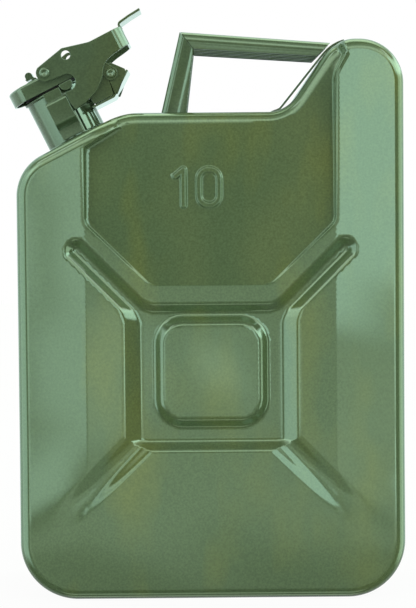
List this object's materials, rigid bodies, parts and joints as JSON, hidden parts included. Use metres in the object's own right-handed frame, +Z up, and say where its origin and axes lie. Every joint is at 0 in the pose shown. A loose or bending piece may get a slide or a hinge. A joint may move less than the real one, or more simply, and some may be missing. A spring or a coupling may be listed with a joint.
{
  "type": "metal jerry can",
  "caption": "Pressed steel fuel can with sunk seam, cross pressings on its faces, a slanted neck with lever cam cap, and channel handles on top.",
  "frame": {"origin": "centre of the can's footprint, at floor level", "axes": "+Z up, +X to the right as seen from the front, from the neck towards the raised end, +Y to the back"},
  "size_m": [0.2768, 0.128, 0.4137],
  "materials": {
    "green_enamel": "glossy enamel with a fine grain",
    "zinc": "dull zinc plate",
    "gasket_rubber": "matt"
  },
  "bodies": {
    "can": {"front_shell": "green_enamel", "rear_shell": "green_enamel", "seam_bead": "green_enamel", "neck_tube": "green_enamel", "neck_collar": "green_enamel", "hinge_bracket": "green_enamel", "hinge_pin": "green_enamel", "latch_stud_front": "green_enamel", "latch_stud_rear": "green_enamel", "keeper_front": "green_enamel", "keeper_rear": "green_enamel", "handle_bar_front": "green_enamel", "handle_bar_middle": "green_enamel", "handle_bar_rear": "green_enamel", "handle_post_front": "green_enamel", "handle_post_middle": "green_enamel", "handle_post_rear": "green_enamel", "handle_strap_front": "green_enamel", "handle_strap_middle": "green_enamel", "handle_strap_rear": "green_enamel", "breather_tube": "zinc"},
    "cap": {"cap": "green_enamel", "cap_gasket": "gasket_rubber", "press_plate": "zinc", "cap_stud": "green_enamel", "cap_lift_tab": "green_enamel", "cap_yoke": "green_enamel", "lever_rivet_front": "green_enamel", "lever_rivet_rear": "green_enamel"},
    "lever": {"cam_lever": "green_enamel"}
  },
  "joints": [
    {"name": "cap_hinge", "type": "hinge", "parent": "can", "child": "cap", "pos_m": [-0.06667, 0, 0.36685], "axis": [0, 1, 0], "range_deg": [0, 104]},
    {"name": "lever_pivot", "type": "hinge", "parent": "cap", "child": "lever", "pos_m": [-0.11318, 0, 0.36743], "axis": [0, -1, 0], "range_deg": [0, 94]}
  ],
  "couplings": [
    {"joint": "lever_pivot", "follows": "cap_hinge", "ratio": 0.9}
  ]
}
